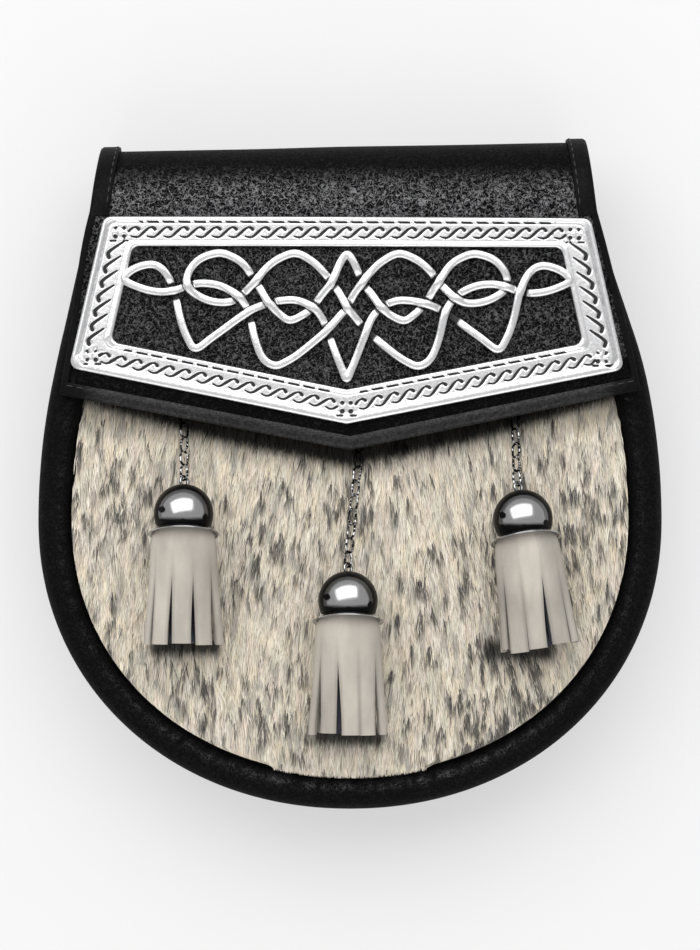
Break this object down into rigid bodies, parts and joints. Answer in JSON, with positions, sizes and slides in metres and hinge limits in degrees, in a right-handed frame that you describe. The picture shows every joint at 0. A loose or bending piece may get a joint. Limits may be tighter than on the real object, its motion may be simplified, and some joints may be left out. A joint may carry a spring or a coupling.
{
  "type": "sporran pouch",
  "caption": "Round leather sporran pouch with a fur front, folded flap, pierced metal cantle and leather tassels on chains.",
  "frame": {"origin": "middle of the footprint, on the floor under the rolled rim of the back", "axes": "+X to the right as seen from the front, +Y from the rounded bottom to the folded top, +Z out of the front"},
  "size_m": [0.19, 0.2052, 0.0629],
  "materials": {
    "black_leather": "grained, semi-gloss",
    "rim_leather": "smooth, semi-gloss",
    "fur": "short hair-on hide, grey speckled",
    "cast_silver": "cast and polished, with darkened recesses",
    "polished_metal": "polished",
    "cream_leather": "matt strips"
  },
  "bodies": {
    "root": {"back_and_flap": "black_leather", "front_panel": "rim_leather", "flap_binding": "rim_leather", "fur_panel": "fur", "gusset": "black_leather", "front_rim": "rim_leather", "back_rim": "rim_leather", "cantle_plate": "cast_silver", "cap_left": "polished_metal", "cap_centre": "polished_metal", "cap_right": "polished_metal", "chain_left": "polished_metal", "chain_centre": "polished_metal", "chain_right": "polished_metal", "tassel_left": "cream_leather", "tassel_centre": "cream_leather", "tassel_right": "cream_leather", "belt_loop_left": "black_leather", "belt_loop_right": "black_leather", "snap_stud": "polished_metal"}
  },
  "joints": []
}
